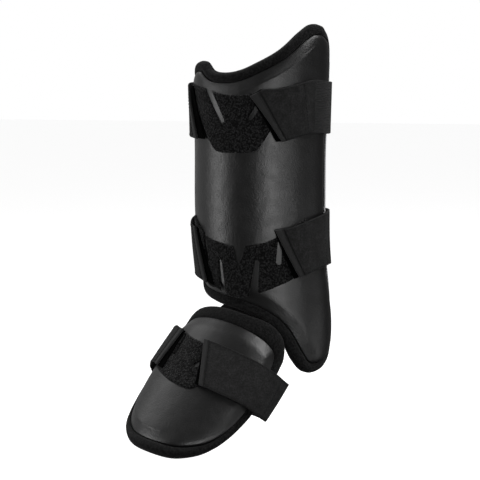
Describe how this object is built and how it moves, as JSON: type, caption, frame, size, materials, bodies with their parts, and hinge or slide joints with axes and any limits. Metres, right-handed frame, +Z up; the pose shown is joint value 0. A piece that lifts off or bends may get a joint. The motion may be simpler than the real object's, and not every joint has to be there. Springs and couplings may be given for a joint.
{
  "type": "batter's leg guard",
  "caption": "Moulded shin and instep guard for a baseball batter's left leg, with a knee wing, ankle flap, elastic straps and loop patches.",
  "frame": {"origin": "on the leg's axis in the shin hollow, midway between the two shin straps", "axes": "+Z up along the shin, -Y to the wearer's front, +X to the wearer's left, the outer side of this leg"},
  "size_m": [0.1682, 0.2167, 0.402],
  "materials": {
    "leather": "satin synthetic leather moulded over foam",
    "knit": "matt knit binding",
    "mesh": "grey padded mesh lining",
    "loop": "black loop pile",
    "hook": "black hook fastener",
    "webbing": "matt woven strap end",
    "elastic": "ribbed woven elastic"
  },
  "bodies": {
    "root": {"shin_shell": "leather", "shin_liner": "mesh", "shin_binding": "knit", "foot_shell": "leather", "foot_liner": "mesh", "foot_binding": "knit", "upper_loop_patch": "loop", "lower_loop_patch": "loop", "foot_loop_patch": "loop", "ankle_hinge": "knit", "upper_strap_outer_tab": "webbing", "upper_strap_outer_hook": "hook", "upper_strap_elastic": "elastic", "upper_strap_inner_tab": "webbing", "upper_strap_inner_hook": "hook", "lower_strap_outer_tab": "webbing", "lower_strap_outer_hook": "hook", "lower_strap_elastic": "elastic", "lower_strap_inner_tab": "webbing", "lower_strap_inner_hook": "hook", "foot_strap_outer_tab": "webbing", "foot_strap_outer_hook": "hook", "foot_strap_elastic": "elastic", "foot_strap_inner_tab": "webbing", "foot_strap_inner_hook": "hook"}
  },
  "joints": []
}
